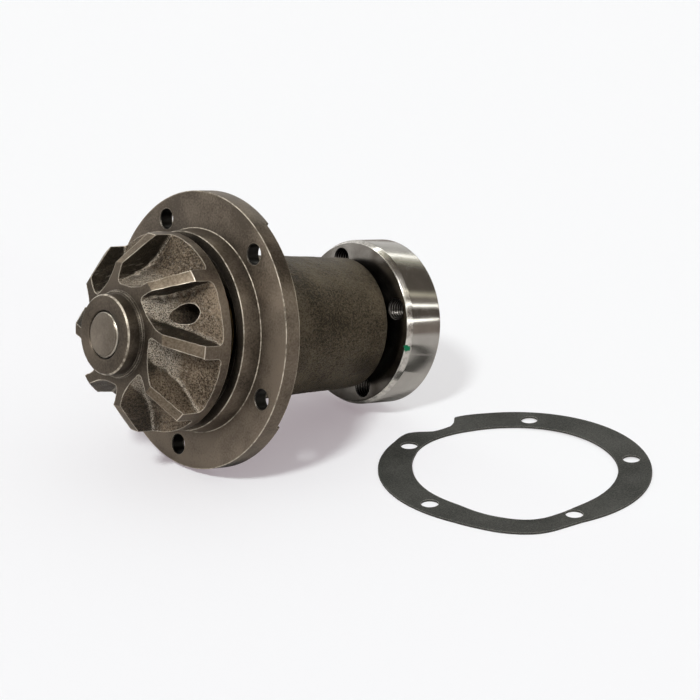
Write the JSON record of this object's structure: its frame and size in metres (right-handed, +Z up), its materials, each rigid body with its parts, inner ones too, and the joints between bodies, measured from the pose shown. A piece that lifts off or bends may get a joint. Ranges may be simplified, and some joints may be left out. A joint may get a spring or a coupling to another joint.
{
  "type": "water pump",
  "caption": "Engine coolant pump: round bolted flange, open vaned impeller, tapering bearing neck, threaded drive hub and a loose flange gasket.",
  "frame": {"origin": "centre of the drive hub's outer face, on the shaft's axis, where the shaft ends flush with the hub", "axes": "+X along the shaft from the impeller out of the drive hub; +Z up across the shaft; the flange's mounting face is the plane X = -0.0931 and faces -X"},
  "size_m": [0.1758, 0.1842, 0.1],
  "materials": {
    "housing_iron": "bare grey cast iron, dark brown-grey, machined on the flange and rim",
    "impeller_iron": "bare cast iron, sand-cast pockets with turned faces",
    "turned_steel": "bright turned steel",
    "bearing_steel": "ground hardened steel",
    "spring_steel": "oiled spring steel",
    "seal_brass": "pressed brass",
    "black_rubber": "moulded black rubber",
    "cage_nylon": "moulded natural nylon",
    "seal_carbon": "lapped carbon graphite",
    "seal_ceramic": "lapped white ceramic",
    "gasket_fibre": "dark pressed gasket fibre"
  },
  "bodies": {
    "casing": {"housing": "housing_iron", "bearing_outer_ring": "bearing_steel", "bearing_seal_front": "black_rubber", "bearing_seal_rear": "black_rubber", "bearing_snap_ring": "spring_steel", "seal_case": "seal_brass", "seal_bellows": "black_rubber", "seal_spring": "spring_steel"},
    "rotor": {"pump_shaft": "bearing_steel", "impeller": "impeller_iron", "drive_hub": "turned_steel", "slinger": "spring_steel", "seal_seat": "seal_ceramic", "seal_seat_boot": "black_rubber"},
    "ball_set_front": {"bearing_cage_front": "cage_nylon", "bearing_ball_front_1": "bearing_steel", "bearing_ball_front_2": "bearing_steel", "bearing_ball_front_3": "bearing_steel", "bearing_ball_front_4": "bearing_steel", "bearing_ball_front_5": "bearing_steel", "bearing_ball_front_6": "bearing_steel", "bearing_ball_front_7": "bearing_steel"},
    "ball_set_rear": {"bearing_cage_rear": "cage_nylon", "bearing_ball_rear_1": "bearing_steel", "bearing_ball_rear_2": "bearing_steel", "bearing_ball_rear_3": "bearing_steel", "bearing_ball_rear_4": "bearing_steel", "bearing_ball_rear_5": "bearing_steel", "bearing_ball_rear_6": "bearing_steel", "bearing_ball_rear_7": "bearing_steel"},
    "seal_head": {"seal_carbon_ring": "seal_carbon", "seal_spring_retainer": "spring_steel"},
    "loose_gasket": {"gasket": "gasket_fibre"}
  },
  "joints": [
    {"name": "shaft_spin", "type": "hinge", "parent": "casing", "child": "rotor", "pos_m": [0, 0, 0], "axis": [1, 0, 0], "continuous": true},
    {"name": "front_cage_spin", "type": "hinge", "parent": "casing", "child": "ball_set_front", "pos_m": [-0.0601, 0, 0], "axis": [1, 0, 0], "continuous": true},
    {"name": "rear_cage_spin", "type": "hinge", "parent": "casing", "child": "ball_set_rear", "pos_m": [-0.0351, 0, 0], "axis": [1, 0, 0], "continuous": true},
    {"name": "seal_head_float", "type": "slide", "parent": "casing", "child": "seal_head", "axis": [1, 0, 0], "range_m": [0, 0.001], "deforming": ["seal_spring", "seal_bellows"]},
    {"name": "gasket_lift", "type": "slide", "parent": "casing", "child": "loose_gasket", "axis": [-0.2134, 0, 0.977], "range_m": [0, 0.15]}
  ],
  "couplings": [
    {"joint": "front_cage_spin", "follows": "shaft_spin", "ratio": 0.3346},
    {"joint": "rear_cage_spin", "follows": "shaft_spin", "ratio": 0.3346}
  ]
}
